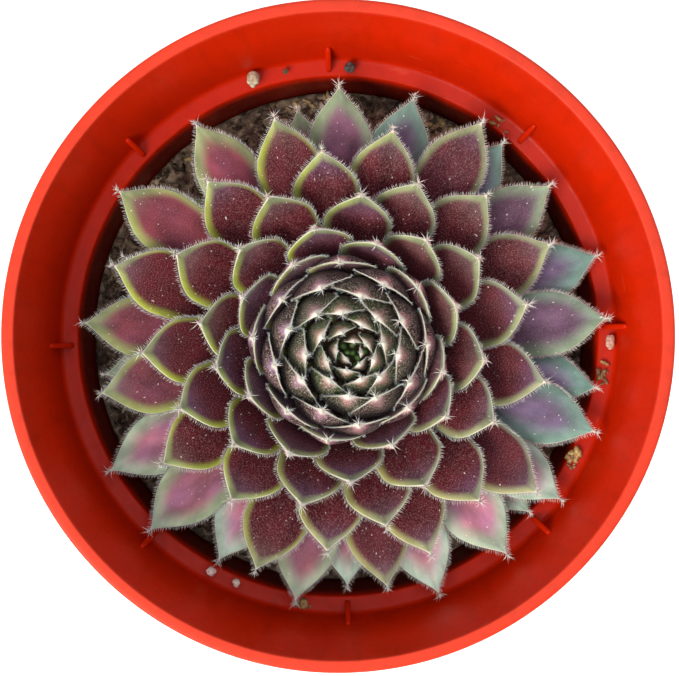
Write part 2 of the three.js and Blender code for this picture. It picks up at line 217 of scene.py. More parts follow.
view = {
    "rimDistance": 260,  # lens to the pot's rim
    "rimWidthInFrame": 675.8,  # of a frame 679 wide
    "frameWidth": 679,
    "sensor": 36,
    "aimX": 0.22,
    "aimY": -0.31,
}
potHeight = cadBounds[1][2] / mm
rimRadius = cadBounds[1][0] / mm

cameraData = bpy.data.cameras.new("camera")
cameraData.sensor_width = view["sensor"]
perPixel = 2 * rimRadius / view["rimWidthInFrame"]
cameraData.lens = view["sensor"] * view["rimDistance"] / (perPixel * view["frameWidth"])
cameraData.clip_start = 0.01
camera = bpy.data.objects.new("camera", cameraData)
camera.location = Vector((view["aimX"], view["aimY"], potHeight + view["rimDistance"])) * mm
bpy.context.scene.collection.objects.link(camera)
bpy.context.scene.camera = camera
bpy.context.scene.view_settings.view_transform = "Standard"

lights = {
    "key": {"from": (-380, -390, 640), "size": 460, "power": 7.5, "tint": "#fff6ea"},
    "fill": {"from": (60, 120, 950), "size": 800, "power": 2.7, "tint": "#f6f8ff"},
}
for lightName, values in lights.items():
    lamp = bpy.data.lights.new(lightName, "AREA")
    lamp.size = values["size"] * mm
    lamp.energy = values["power"]
    lamp.color = colour(values["tint"])[:3]
    holder = bpy.data.objects.new(lightName, lamp)
    holder.location = Vector(values["from"]) * mm
    aim = Vector((0, 0, potHeight)) * mm - holder.location
    holder.rotation_euler = aim.to_track_quat("-Z", "Y").to_euler()
    bpy.context.scene.collection.objects.link(holder)

world = bpy.data.worlds.new("paleStudio")
world.use_nodes = True
world.node_tree.nodes["Background"].inputs["Color"].default_value = colour("#f4f6fa")
world.node_tree.nodes["Background"].inputs["Strength"].default_value = 0.4
bpy.context.scene.world = world

# a lit sweep of white paper, matt: near white all over
paperMaterial, _, _ = newMaterial(
    "seamless paper, lit from below", Base_Color=colour("#f7f7f7"), Roughness=0.9,
    Emission_Color=colour("#ffffff"), Emission_Strength=0.7)
floorHalf = 1500
floorMesh = bpy.data.meshes.new("floor")
corners = [Vector((x, y, 0)) * floorHalf * mm for x, y in ((-1, -1), (1, -1), (1, 1), (-1, 1))]
floorMesh.from_pydata(corners, [], [(0, 1, 2, 3)])
floorMesh.materials.append(paperMaterial)
floor = bpy.data.objects.new("floor", floorMesh)
bpy.context.scene.collection.objects.link(floor)
print("camera, lights and floor are set")


pot = {
    "height": potHeight,
    "rimRadius": rimRadius,
    "lipHeight": 2.8,
    "collarTopRadius": 50.5,
    "collarFootRadius": 46.8,
    "ledgeHeight": 70.4,
    "ledgeDrop": 0.6,
    "ledgeInnerRadius": 43.8,
    "footRadius": 37.1,
    "wall": 1.25,
    "floorTop": 4.2,
    "floorBottom": 3.0,
    "footRingInnerRadius": 31.2,
    "turns": 288,
    "arcStep": 18,  # degrees of a rounded edge between two points
    "sharpAngle": 35,
    "ribCount": 8,
    "ribFirstAngle": 2,
    "ribThickness": 0.9,
    "ribTop": 76,
    "ribReach": 44.5,
    "ribRooted": 0.9,  # into the collar
    "ribEdge": (0.82, 0.6),  # shares of the outline and the thickness, for the rounded edges
    "drainCount": 8,
    "drainRadius": 4,
    "drainCircle": 24,
    "drainSides": 32,
    "cutMargin": 2,  # how far a cutter goes past the surface
    "notchCount": 8,
    "notchInside": 8,  # from the outside of the foot
    "notchOutside": 4,
    "notchWidth": 8,
    "notchHeight": 1.6,
    "aboveNotches": 3,
    "red": "#da2600",
    "deepRed": "#a81a00",
    # the next two reds are painted shade, at the collar's foot and on the wall under the ledge
    "collarShadeRed": "#981400",
    "underLedgeShadeRed": "#3c0d05",
    "soilStain": "#6b2c17",
    "scuff": "#f0714f",
    # a painted highlight on the lip
    "paintedLipHighlight": "#ff7d62",
    "cloudSize": 14,  # clouding from the mould, where its noise lies in the span
    "cloudSpan": (0.35, 0.7),
    "cloudStrength": 0.25,
    "skinDepth": 5,  # tells the inside from the outside of the thin wall
    # painted shade at the collar's foot, on the inside
    "collarShadeReach": 13,  # up from the ledge
    "collarShadeStrength": 0.55,
    # painted shade on the inside wall under the ledge
    "underLedgeShadeFrom": 1.2,  # down from the ledge
    "underLedgeShadeFull": 4,
    "underLedgeShadeStrength": 0.8,
    "spotSize": 1.1,  # soil washed onto the ledge and the collar's foot
    "spotReach": 9,
    "spotBoost": 0.08,  # how many more of them there are at the ledge
    "spotSpan": (0.72, 0.84),
    "spotStrength": 0.25,
    # painted highlight on the lip's rounded edge
    "lipHighlightFrom": 0.9,  # down from the top of the lip
    "lipHighlightFull": 0.1,
    "lipHighlightStrength": 0.17,
    "scuffLength": 6,  # from stacking
    "scuffWidth": 0.5,
    "scuffSpan": (0.7, 0.82),
    "scuffStrength": 0.3,
    "runWidth": 2.2,  # where water has run down
    "runLength": 30,
    "runSpan": (0.5, 0.75),
    "runShade": 0.88,
    "roughSpan": (0.3, 0.8),
    "roughness": (0.3, 0.55),
    "grainStrength": 0.12,
    "grainDepth": 0.05,
}


def bodyInside(height):
    share = height / (pot["ledgeHeight"] - pot["ledgeDrop"])
    outer = pot["footRadius"] - pot["wall"]
    return outer + (pot["ledgeInnerRadius"] - outer) * share


def roundedProfile(corners):
    # corners are (radius, height, rounding); each one is replaced by an arc
    points = []
    for i, (radius, height, rounding) in enumerate(corners):
        here = np.array([radius, height], float)
        if rounding == 0:
            points.append(here)
            continue
        before = np.array(corners[i - 1][:2], float) - here
        after = np.array(corners[(i + 1) % len(corners)][:2], float) - here
        before, after = before / np.linalg.norm(before), after / np.linalg.norm(after)
        half = acos(np.clip(before @ after, -1, 1)) / 2
        reach = rounding / tan(half)
        middle = here + (before + after) / np.linalg.norm(before + after) * rounding / sin(half)
        start, end = here + before * reach - middle, here + after * reach - middle
        sweep = acos(np.clip(start @ end / rounding ** 2, -1, 1))
        turn = copysign(sweep, start[0] * end[1] - start[1] * end[0])
        steps = max(2, round(abs(turn) / radians(pot["arcStep"])))
        for step in range(steps + 1):
            c, s = cos(turn * step / steps), sin(turn * step / steps)
            points.append(middle + (start[0] * c - start[1] * s, start[0] * s + start[1] * c))
    return points


def polypropylene():
    # polypropylene, moulded and unpainted: saturated red with a soft sheen, a little light in the wall
    material, shader, add = newMaterial(
        "polypropylene, injection moulded", IOR=1.49, Roughness=0.36, Specular_IOR_Level=0.14,
        Subsurface_Weight=0.12, Subsurface_Radius=(1.0, 0.25, 0.08), Subsurface_Scale=1.6 * mm)
    ledge, top = pot["ledgeHeight"], pot["height"]
    place = add("TexCoord", output="Object")
    height = add("SeparateXYZ", [place], "Z")
    cloud = add("TexNoise", {"Vector": place, "Scale": 1 / (pot["cloudSize"] * mm), "Detail": 3.0})
    clouded = add("MapRange", [cloud, *pot["cloudSpan"], 0.0, pot["cloudStrength"]])
    # masks that grow from one height to another: painted shade at the collar's foot and under the ledge, soil
    # spots that gather at the ledge, and a painted highlight along the lip
    paintedCollarShade, paintedUnderLedgeShade, low, paintedLipHighlight = (
        add("MapRange", [height, start * mm, full * mm, 0.0, strength])
        for start, full, strength in (
            (ledge + pot["collarShadeReach"], ledge, pot["collarShadeStrength"]),
            (ledge - pot["underLedgeShadeFrom"], ledge - pot["underLedgeShadeFull"], pot["underLedgeShadeStrength"]),
            (ledge + pot["spotReach"], ledge, pot["spotBoost"]),
            (top - pot["lipHighlightFrom"], top - pot["lipHighlightFull"], pot["lipHighlightStrength"])))
    # on the inside, painted shade darkens the collar's foot, and more of it the wall under the ledge
    normal = add("NewGeometry", output="Normal")
    level = add("VectorMath", [place, (1, 1, 0)], operation="MULTIPLY")
    outward = add("VectorMath", [normal, level], operation="DOT_PRODUCT")
    inside = add("Math", [outward, pot["skinDepth"] * mm], operation="LESS_THAN")
    paintedCollarShade, paintedUnderLedgeShade = (add("Math", [rise, inside], operation="MULTIPLY") for rise in (paintedCollarShade, paintedUnderLedgeShade))
    spots = add("TexNoise", {"Vector": place, "Scale": 1 / (pot["spotSize"] * mm), "Detail": 4.0})
    stained = add("Math", [spots, low], operation="ADD")
    stain = add("MapRange", [stained, *pot["spotSpan"], 0.0, pot["spotStrength"]])
    # scuffs are short pale streaks round the wall, and water runs are darker streaks down it
    streaks = []
    for along, down in ((pot["scuffLength"], pot["scuffWidth"]), (pot["runWidth"], pot["runLength"])):
        stretched = add("Mapping", {
            "Vector": place, "Scale": (1 / (along * mm), 1 / (along * mm), 1 / (down * mm))})
        streaks.append(add("TexNoise", {"Vector": stretched, "Scale": 1.0, "Detail": 2.0}))
    scuff = add("MapRange", [streaks[0], *pot["scuffSpan"], 0.0, pot["scuffStrength"]])
    run = add("MapRange", [streaks[1], *pot["runSpan"], 1.0, pot["runShade"]])
    surface = colour(pot["red"])
    # in turn: the clouding, the painted shade at the collar's foot and under the ledge, the soil stains, the
    # painted highlight on the lip and the scuffs
    for share, tint in ((clouded, "deepRed"), (paintedCollarShade, "collarShadeRed"), (paintedUnderLedgeShade, "underLedgeShadeRed"),
                        (stain, "soilStain"), (paintedLipHighlight, "paintedLipHighlight"), (scuff, "scuff")):
        surface = add("Mix", {0: share, 6: surface, 7: colour(pot[tint])}, data_type="RGBA")
    setInputs(shader, {
        "Base Color": add("Mix", {0: 1.0, 6: surface, 7: run}, data_type="RGBA", blend_type="MULTIPLY"),
        "Roughness": add("MapRange", [spots, *pot["roughSpan"], *pot["roughness"]]),
        "Normal": add("Bump", {
            "Height": spots, "Strength": pot["grainStrength"], "Distance": pot["grainDepth"] * mm})})
    return material


def cutWith(piece, cutter):
    cut = piece.modifiers.new("cut", "BOOLEAN")
    cut.object, cut.operation, cut.solver = cutter, "DIFFERENCE", "EXACT"
    shape = bpy.data.meshes.new_from_object(piece.evaluated_get(bpy.context.evaluated_depsgraph_get()))
    shape.set_sharp_from_angle(angle=radians(pot["sharpAngle"]))
    piece.modifiers.clear()
    piece.data = shape
    bpy.data.objects.remove(cutter)


def makePot():
    ledgeLow = pot["ledgeHeight"] - pot["ledgeDrop"]
    shoulder = ledgeLow - pot["wall"]
    wall, lipFoot = pot["wall"], pot["height"] - pot["lipHeight"]
    # radius, height and rounding of each corner, up the outside and down the inside
    outline = roundedProfile([
        (pot["footRingInnerRadius"], pot["floorBottom"], 0.4),
        (pot["footRingInnerRadius"] + 0.3, 0, 0.3),
        (pot["footRadius"], 0, 0.6),
        (bodyInside(pot["aboveNotches"]) + wall, pot["aboveNotches"], 0),
        (bodyInside(shoulder) + wall, shoulder, 0.6),
        (pot["collarFootRadius"] + wall, shoulder + 0.5, 0.8),
        (pot["collarTopRadius"] + wall * 0.7, lipFoot, 0.35),
        (pot["rimRadius"], lipFoot + 0.2, 0.4),
        (pot["rimRadius"], pot["height"], 0.6),
        (pot["collarTopRadius"], pot["height"], 0.3),
        (pot["collarFootRadius"], pot["ledgeHeight"], 1.1),
        (pot["ledgeInnerRadius"], ledgeLow, 0.45),
        (bodyInside(pot["floorTop"]), pot["floorTop"], 1.0),
    ])
    points = [point for radius, height in outline for point in ringPoints(radius, height, pot["turns"])]
    faces = fannedTube(points, len(outline), pot["turns"],
                       (0, 0, pot["floorBottom"]), (0, 0, pot["floorTop"]))
    piece = makePiece("nurseryPot", points, faces, polypropylene(), ["pot"])

    # drain holes between the notches and one in the middle, then the notches in the foot
    cutPoints, cutFaces, below = [], [], -pot["cutMargin"]
    for i in range(pot["drainCount"] + 1):
        angle = 2 * pi * (i + 0.5) / pot["drainCount"]
        circle = pot["drainCircle"] if i < pot["drainCount"] else 0
        centre = (circle * cos(angle), circle * sin(angle))
        hole = ringPoints(pot["drainRadius"], 0, pot["drainSides"], centre)
        addPrism(cutPoints, cutFaces, hole, below, pot["floorTop"] + pot["cutMargin"])
    half = pot["notchWidth"] / 2
    near, far = pot["footRadius"] - pot["notchInside"], pot["footRadius"] + pot["notchOutside"]
    for i in range(pot["notchCount"]):
        turn = radians(360 / pot["notchCount"] * i)
        notch = [(hypot(x, y) * cos(atan2(y, x) + turn),
                  hypot(x, y) * sin(atan2(y, x) + turn), 0)
                 for x, y in ((near, -half), (far, -half), (far, half), (near, half))]
        addPrism(cutPoints, cutFaces, notch, below, pot["notchHeight"])
    cutter = bpy.data.objects.new("cutter", bpy.data.meshes.new("cutter"))
    cutter.data.from_pydata((np.array(cutPoints) * mm).tolist(), [], cutFaces)
    bpy.context.scene.collection.objects.link(cutter)
    cutWith(piece, cutter)
    return piece


def addPrism(points, faces, base, low, high):
    start = len(points)
    points += [(x, y, height) for height in (low, high) for x, y, _ in base]
    faces += closedTube(2, len(base), start)


def makeRibs(material):
    # stacking ribs: thin gussets with rounded edges at the foot of the collar
    rooted, reach = pot["collarFootRadius"] + pot["ribRooted"], pot["ribReach"]
    ledge, top = pot["ledgeHeight"], pot["ribTop"]
    outline = [(rooted, ledge - 0.5), (rooted, top), (pot["collarFootRadius"] + 0.3, top - 0.6),
               (reach + 0.3, ledge + 0.9), (reach, ledge + 0.5), (reach, ledge - pot["ledgeDrop"] - 0.2)]
    inner = np.mean(outline, axis=0)
    narrow, flat = pot["ribEdge"]
    half = pot["ribThickness"] / 2
    points, faces = [], []
    for i in range(pot["ribCount"]):
        angle = radians(pot["ribFirstAngle"] + 360 / pot["ribCount"] * i)
        out, side = outAndAcross(angle)
        faces += closedTube(4, len(outline), len(points))
        for across, shrink in ((-half, narrow), (-half * flat, 1.0), (half * flat, 1.0), (half, narrow)):
            for corner in outline:
                radius, height = inner + (np.array(corner) - inner) * shrink
                points.append(tuple(out * radius + side * across + (0, 0, height)))
    return makePiece("stackingRibs", points, faces, material)


potPiece = makePot()
makeRibs(potPiece.data.materials[0])
print("pot is turned, drilled and ribbed")


rosette = {
    "leaves": 114,
    "divergence": 137.48,  # degrees from one leaf to the next, youngest first
    "axis": (0.8, -1.05),
    "lean": (1.6, -1.7),  # how far the heart leans over from the axis
    "leanFrom": 63,
    "leanTo": 75.6,
    "bend": 1.5,  # above 1 the midrib bends more towards its tip
    "steepest": 120,  # no leaf leaves the crown at more than this slope
    "halvings": 24,
    "midribSteps": 400,
    "alongSteps": 40,
    "aroundSteps": 30,
    "crowding": 1.5,  # above 1 the points stand closer together towards the tip
    "rootWidth": 0.45,  # shares of the leaf's half width and thickness
    "rootThickness": 0.4,
    "thickestAt": 0.65,
    "tipThickness": 0.3,
    "thinningFrom": 1.5,  # times the half width, from the tip
    "taper": 0.7,
    "topSwell": 0.22,
    "keelDepth": 0.8,
    "keelLength": 10,
    "grooveDepth": 0.1,
    "marginThickness": 0.14,
    "undersides": (1.2, 2.6),  # 1 is a sharp edge: fullness of the round underside and of the keeled tip
    "topFullness": 1.3,
    "marginShare": 0.7,  # the margin is no thicker than this share of a narrow tip's half width
    "marginRounding": 2.2,
    "grooveWidth": 0.22,
    "youngFineness": 0.4,  # how fine the smallest leaves are beside the largest
    "cup": 0.5,  # how strongly the margins fold up round the heart
    "cupRadius": 4,
    "pitchJitter": 1.2,  # degrees
    "yawJitter": 1.5,
    "rollJitter": 3,
    "restingFrom": 86,  # leaves from this one on lie low, so theirs only tips up
    "flickLength": 2.6,
    "sway": 0.6,
    "ripple": 0.1,
    "ripples": 0.9,  # radians in a millimetre
}

# growth stages of a leaf from the heart (leaf 0) to the oldest, with even change between two stages:
# tipRadius is the tip's distance from the axis, tipSlope the midrib's slope there in degrees, shoulder
# how far from the tip the leaf is widest, point the length over which its margins draw in to the tip,
# and flick turns up the very tip
leafStages = {
    "leaf":       (0, 8, 16, 24, 32, 40, 50, 60, 75, 90, 100, 114),
    "rootRadius": (0.8, 3, 4.7, 6, 7, 7.8, 8.4, 8.8, 9.2, 9.4, 9.4, 9.2),
    "rootHeight": (75.6, 74.2, 72.6, 71, 69.5, 68.1, 66.7, 65.6, 64.5, 63.8, 63.4, 63.2),
    "length":     (5, 9.6, 13.6, 17.2, 19.6, 21.2, 23, 25.2, 30, 35.2, 37.2, 33.2),
    "tipRadius":  (1, 3.4, 5.9, 8.6, 11.8, 15.2, 20.5, 26.4, 35, 43, 45.2, 41.5),
    "tipSlope":   (112, 138, 144, 138, 116, 86, 60, 42, 22, 10, 8, 8),
    "halfWidth":  (1.1, 2.5, 3.8, 4.8, 5.2, 5.3, 5.4, 5.5, 5.4, 5.3, 5.1, 4.6),
    "thickness":  (0.9, 1.2, 1.5, 1.8, 1.9, 2, 2.2, 2.3, 2.2, 2.1, 1.9, 1.7),
    "shoulder":   (1, 1.9, 2.9, 3.7, 4.4, 5, 5.6, 6.4, 8.2, 10, 10, 9),
    "point":      (0.15, 0.3, 0.4, 0.6, 0.9, 1.2, 1.3, 1.4, 1.6, 1.8, 1.8, 1.6),
    "flick":      (0, 0, -8, -12, -8, 8, 18, 25, 25, 20, 10, 5),
}
# leaves that grew out of line with the spiral: degrees turned and millimetres further out
strays = {
    55: (-5, 0), 58: (-5, 1.4), 59: (1, -1.8), 63: (-5, 0), 66: (-3, 0.5), 67: (3, 1.1),
    71: (-8, 1.4), 76: (-3, -1.5), 79: (-7, 0.5), 80: (1, 2.2), 82: (4, 1.4), 84: (-10, 1),
    85: (-4, 0.8), 86: (1, 2.8), 88: (2, 3.4), 89: (2, 2), 90: (-3, 2), 92: (-3, 1.6),
    96: (4, 0), 97: (-4, 0.5), 99: (3, -2), 101: (5, -5.5), 102: (3, 0.5), 103: (-1, -2),
    104: (-3, -4), 105: (-2, 1.4), 106: (0, -3), 108: (0, -2), 109: (0, -7), 110: (-6, 1),
    111: (0, -6), 112: (0, -6), 113: (13, 1),
}


def stageOf(leaf):
    return {key: float(np.interp(leaf, leafStages["leaf"], values)) for key, values in leafStages.items()}


def axisAt(height):
    share = min(max((height - rosette["leanFrom"]) / (rosette["leanTo"] - rosette["leanFrom"]), 0), 1)
    return np.array([rosette["axis"][0] + rosette["lean"][0] * share * share,
                     rosette["axis"][1] + rosette["lean"][1] * share, 0.0])


def outlineOf(stage, along):
    # half width of the leaf along its midrib: it swells to the shoulder, then draws in to the point
    fromTip = stage["length"] - along
    lower = np.sin(pi / 2 * np.clip(along / (stage["length"] - stage["shoulder"]), 0, 1))
    upper = np.sin(pi / 2 * np.clip(fromTip / stage["shoulder"], 0, 1))
    upper = upper * (1 - np.exp(-fromTip / stage["point"]))
    swell = rosette["rootWidth"] + (1 - rosette["rootWidth"]) * lower
    return swell * upper * stage["halfWidth"]


def midribOf(stage, rise, fine):
    # slope along the midrib, and how far out and up it has gone
    slope = np.radians(rise + (stage["tipSlope"] - rise) * (fine / stage["length"]) ** rosette["bend"])
    step = fine[1] - fine[0]
    reach = stage["rootRadius"] + np.concatenate([[0], np.cumsum(np.cos(slope[:-1]) * step)])
    height = stage["rootHeight"] + np.concatenate([[0], np.cumsum(np.sin(slope[:-1]) * step)])
    return slope, reach, height


def riseOf(stage, fine):
    # the slope at the root that brings the tip to its distance from the axis, found by halving
    low, high = 0.0, float(rosette["steepest"])
    for _ in range(rosette["halvings"]):
        middle = (low + high) / 2
        if midribOf(stage, middle, fine)[1][-1] > stage["tipRadius"]:
            low = middle
        else:
            high = middle
    return low


def leafShape(leaf):
    # everything that the blade, its margin hairs and its tip tuft need, worked out once
    stage = stageOf(leaf)
    turn, further = strays.get(leaf, (0, 0))
    stage["length"] += further
    stage["tipRadius"] += further
    length = stage["length"]
    pitch = rosette["pitchJitter"] * (scatter(leaf, 1) + (1 if leaf >= rosette["restingFrom"] else 0))
    yaw = radians(-rosette["divergence"] * leaf + turn + rosette["yawJitter"] * scatter(leaf, 2))
    roll = radians(rosette["rollJitter"] * scatter(leaf, 3))
    scale = stage["halfWidth"] / max(leafStages["halfWidth"])
    outward, across = outAndAcross(yaw)
    up = np.array([0, 0, 1.0])
    share = np.linspace(0, 1, rosette["alongSteps"] + 1)
    along = length * (1 - (1 - share) ** rosette["crowding"])
    fine = np.linspace(0, length, rosette["midribSteps"])
    rise = riseOf(stage, fine) + pitch
    stage["tipSlope"] += pitch
    slope, reach, height = midribOf(stage, rise, fine)
    flickFrom = length - rosette["flickLength"] * scale
    flick = np.radians(stage["flick"] * smoothStep(flickFrom, length, fine))
    reach[1:] += np.cumsum(np.cos(slope + flick) - np.cos(slope))[:-1] * fine[1]
    height[1:] += np.cumsum(np.sin(slope + flick) - np.sin(slope))[:-1] * fine[1]
    slope, reach, height = (np.interp(along, fine, line) for line in (slope + flick, reach, height))
    sway = rosette["sway"] * scale * scatter(leaf, 6) * (along / length) ** 2
    middle = axisAt(stage["rootHeight"]) + outward * reach[:, None] + up * height[:, None]
    middle += across * sway[:, None]
    face = -outward * np.sin(slope)[:, None] + up * np.cos(slope)[:, None]
    forward = outward * np.cos(slope)[:, None] + up * np.sin(slope)[:, None]
    twist = roll * along / length
    side = across * np.cos(twist)[:, None] + face * np.sin(twist)[:, None]
    cup = rosette["cup"] / np.maximum(reach, rosette["cupRadius"])
    filled = np.sin(pi / 2 * np.minimum(along / length / rosette["thickestAt"], 1))
    swell = rosette["rootThickness"] + (1 - rosette["rootThickness"]) * filled
    fromTip = length - along
    thinning = (fromTip / stage["halfWidth"] / rosette["thinningFrom"]) ** rosette["taper"]
    taper = rosette["tipThickness"] + (1 - rosette["tipThickness"]) * thinning
    body = stage["thickness"] * np.minimum(swell, taper)
    fineness = rosette["youngFineness"] + (1 - rosette["youngFineness"]) * scale
    return {"leaf": leaf, "stage": stage, "scale": scale, "fineness": fineness, "yaw": yaw,
            "along": along, "fromTip": fromTip,
            "middle": middle, "face": face, "forward": forward, "side": side,
            "half": outlineOf(stage, along), "cup": cup, "body": body}


def leafSkin(shape):
    # rings of points round the blade: flat-topped above, keeled below, thin at the margin
    count = rosette["aroundSteps"]
    angle = 2 * pi * (np.arange(count) + 0.5) / count
    width, wave = np.cos(angle), np.abs(np.sin(angle))
    upper = np.sin(angle) > 0
    half, body = shape["half"][:, None], shape["body"][:, None]
    x = width * half
    keel = smoothStep(rosette["keelLength"], 1, shape["fromTip"])[:, None]
    plain, keeled = rosette["undersides"]
    under = wave ** plain * (1 - keel) + wave ** keeled * keel
    groove = rosette["grooveDepth"] * np.exp(-(width / rosette["grooveWidth"]) ** 2) * body
    thin = rosette["marginThickness"] * shape["fineness"]
    margin = np.minimum(thin, half * rosette["marginShare"])
    margin = 0.5 * margin * np.minimum(wave * rosette["marginRounding"], 1)
    top = rosette["topSwell"] * body * wave ** rosette["topFullness"] - groove + margin
    lift = np.where(upper, top, -rosette["keelDepth"] * body * under - margin)
    wavy = np.sin(shape["along"] * rosette["ripples"] + 5 * scatter(shape["leaf"], 8))[:, None]
    lift = lift + shape["cup"][:, None] * x * x + rosette["ripple"] * wavy * width ** 2 * np.sign(width)
    middle, side, face = (shape[key][:, None, :] for key in ("middle", "side", "face"))
    points = middle + side * x[..., None] + face * lift[..., None]
    slant = np.cos(np.arctan(np.abs(np.gradient(shape["half"], shape["along"]))))
    edge = (half - np.abs(x)) * slant[:, None] / shape["fineness"]
    # the skin's pattern is drawn out along the blade, and each leaf has its own part of it
    rows = np.ones_like(x)
    place = np.stack([x, shape["along"][:, None] * skin["stretch"] * rows,
                      shape["leaf"] * skin["step"] * rows], axis=2)
    return points, edge, x, upper, place


# tints: the middle and margin of a leaf in its prime, of its back, of a leaf in the heart, and
# of the oldest leaves, which flush warm on one side of the plant, cool in the shade and pale in the sun
tints = {
    "maroon": "#52121c",
    "haze": "#76665f",
    "violet": "#5a4c78",
    "lime": "#a2b23c",
    "teal": "#8a9c86",
    "dusty": "#b0a294",
    "backTip": "#b07c84",
    "backBase": "#381a21",
    "heartTip": "#a87a66",
    "heartBase": "#3c5c2a",
    "purple": "#7c6a94",
    "oldWarm": "#8c424e",
    "oldCool": "#6e6482",
    "oldPale": "#d88c9c",
    "oldViolet": "#9478b4",
    "warmMargin": "#8c9e74",
    "coolMargin": "#6c988e",
    "paleMargin": "#b8d4c0",
    "spot": "#f0ebdf",
    "rim": "#e6e6d8",
    "gland": "#b4747a",
    "down": "#d8cac4",
    # the painted glint of a water droplet
    "dropletGlint": "#f6eeee",
}
tints = {name: np.array(colour(tint)) for name, tint in tints.items()}

# the leaf's skin, in millimetres over the blade; a span is where a noise or a distance takes hold
skin = {
    "patchSize": 2.5,
    "unevenness": 0.7,
    "greenSpan": (1.7, 0.35),
    "mottleSpan": (0.35, 0.68),
    "mottleShades": (0.72, 1.25),
    "glands": 7.5,  # in a millimetre
    "glandSpan": (0.51, 0.68),
    # painted glints of water droplets, in a millimetre
    "glints": 3.4,
    "glintSpan": (0.81, 0.85),
    "glintStrength": 0.8,
    "rimSpan": (0.14, 0.03),  # the horny rim, by its distance from the margin
    "rimStrength": 0.75,
    "reliefStrength": 0.4,
    "reliefDepth": 0.08,
    "stretch": 0.55,  # of the pattern along the blade
    "step": 3.7,  # from one leaf to the next
}


# how the tints are spread over the rosette and over a leaf
spread = {
    "youngAges": (0.27, 0.05),  # shares of the leaves, from the heart outwards
    "oldAges": (0.72, 0.88),
    "ageScatter": 0.03,
    "shadyAges": (0.5, 0.35),
    "downyAges": (0.45, 0.25),
    "cool": (20, -0.2, 0.8),  # a side in degrees, and the span of the cosine away from it
    "pale": (255, 0.1, 0.8),
    "shady": (180, -0.3, 0.9),
    "dusty": (305, 0.1, 0.9),
    "paleScatter": 0.15,
    "sunSide": 225,
    "tipSpan": (7.0, 1.0),  # millimetres from the tip
    "tipStrength": 0.6,
    "waves": (0.9, 0.5),  # patches of violet: radians in a millimetre across and along
    "waveStrength": (0.1, 0.35),
    "violetHaze": 0.4,
    "violetShade": 0.22,
    "dust": 0.4,
    "coolDull": 0.7,
    "sunClear": 0.3,
    "backShade": 0.7,
    "backSpan": (4.0, 1.2),
    "backSlant": 1.2,
    "spotReach": (1.0, 0.7),  # the pale point, and how much further it goes in the heart
    "spotFull": 0.45,
    "marginWidth": (0.95, 0.5),  # and how much the sun adds
    "tipMargin": 0.8,
    "tipMarginSpan": (4.5, 0.5),
    "oldMargin": 2.2,
    "oldMarginShares": (0.6, 0.4),
    "down": 0.34,
    "youngDown": 0.5,
    "oldBare": 0.45,
}


def blend(share, first, second):
    # between two tints, each a name or a colour for every point
    first, second = (tints[tint] if isinstance(tint, str) else tint for tint in (first, second))
    return first + (second - first) * np.asarray(share)[..., None]


def turnedTo(side, yaw, stray=0):
    # how far a leaf is turned to a side of the plant
    degrees, low, high = spread[side]
    return smoothStep(low, high, cos(yaw - radians(degrees)) + stray)


def leafTints(shape, edge, x, upper):
    # colour of the leaf's middle and margin at every point, and how far into the margin it lies
    leaf, yaw, fineness = shape["leaf"], shape["yaw"], shape["fineness"]
    age = leaf / rosette["leaves"]
    youth = smoothStep(*spread["youngAges"], age)
    old = smoothStep(*spread["oldAges"], age + spread["ageScatter"] * scatter(leaf, 7))
    cool = turnedTo("cool", yaw)
    pale = turnedTo("pale", yaw, spread["paleScatter"] * scatter(leaf, 9))
    shady = turnedTo("shady", yaw) * smoothStep(*spread["shadyAges"], age)
    fromTip = shape["fromTip"][:, None] / fineness + 0 * x
    nearTip = spread["tipStrength"] * smoothStep(*spread["tipSpan"], fromTip)

    acrossWave, alongWave = spread["waves"]
    patch = 0.5 + 0.5 * np.sin(acrossWave * x + leaf) * np.sin(alongWave * fromTip + 2 * leaf)
    violet = spread["violetHaze"]
    haze = blend(violet + violet * scatter(leaf, 10), "haze", "violet")
    warm = blend(spread["violetShade"] * shady + 0 * x, "maroon", "violet")
    warm = blend(nearTip, warm, haze)
    flush = blend(pale, blend(cool, "oldWarm", "oldCool"), "oldPale")
    fewest, more = spread["waveStrength"]
    flush = blend(patch * (fewest + more * pale), flush, "oldViolet")
    oldMargin = blend(pale, blend(cool, "warmMargin", "coolMargin"), "paleMargin")
    flush = blend(nearTip, flush, oldMargin)
    topMiddle = blend(old, warm, flush)
    # the margin that faces the sun is broader and limier
    across = x / np.maximum(np.max(np.abs(x), axis=1, keepdims=True), 0.01)
    facing = np.sin(radians(spread["sunSide"]) - yaw) * across
    dulled = np.maximum(nearTip, spread["coolDull"] * cool) - spread["sunClear"] * facing
    lime = blend(spread["dust"] * turnedTo("dusty", yaw), "lime", "dusty")
    topMargin = blend(old, blend(np.clip(dulled, 0, 1), lime, "teal"), oldMargin)

    backTip = blend(spread["backShade"] * shady, "backTip", "purple")
    backTip = blend(youth, backTip, "heartTip")
    backBase = blend(youth, "backBase", "heartBase")
    nearBackTip = smoothStep(*spread["backSpan"], fromTip + spread["backSlant"] * np.abs(x))
    back = blend(nearBackTip, backBase, backTip)

    reach, further = spread["spotReach"]
    spot = smoothStep(reach + further * youth, spread["spotFull"], fromTip)
    middle, margin = (
        blend(spot, np.where(upper[None, :, None], top, back), "spot") for top in (topMiddle, topMargin))
    plain, sunny = spread["marginWidth"]
    width = (plain + sunny * facing) * (
        1 + spread["tipMargin"] * smoothStep(*spread["tipMarginSpan"], fromTip)) * fineness
    least, rest = spread["oldMarginShares"]
    width = width + spread["oldMargin"] * old * (least + rest * max(cool, pale))
    down = spread["down"] + spread["youngDown"] * smoothStep(*spread["downyAges"], age)
    down = down * (1 - spread["oldBare"] * old) + 0 * x
    return middle, margin, edge * fineness / width, down


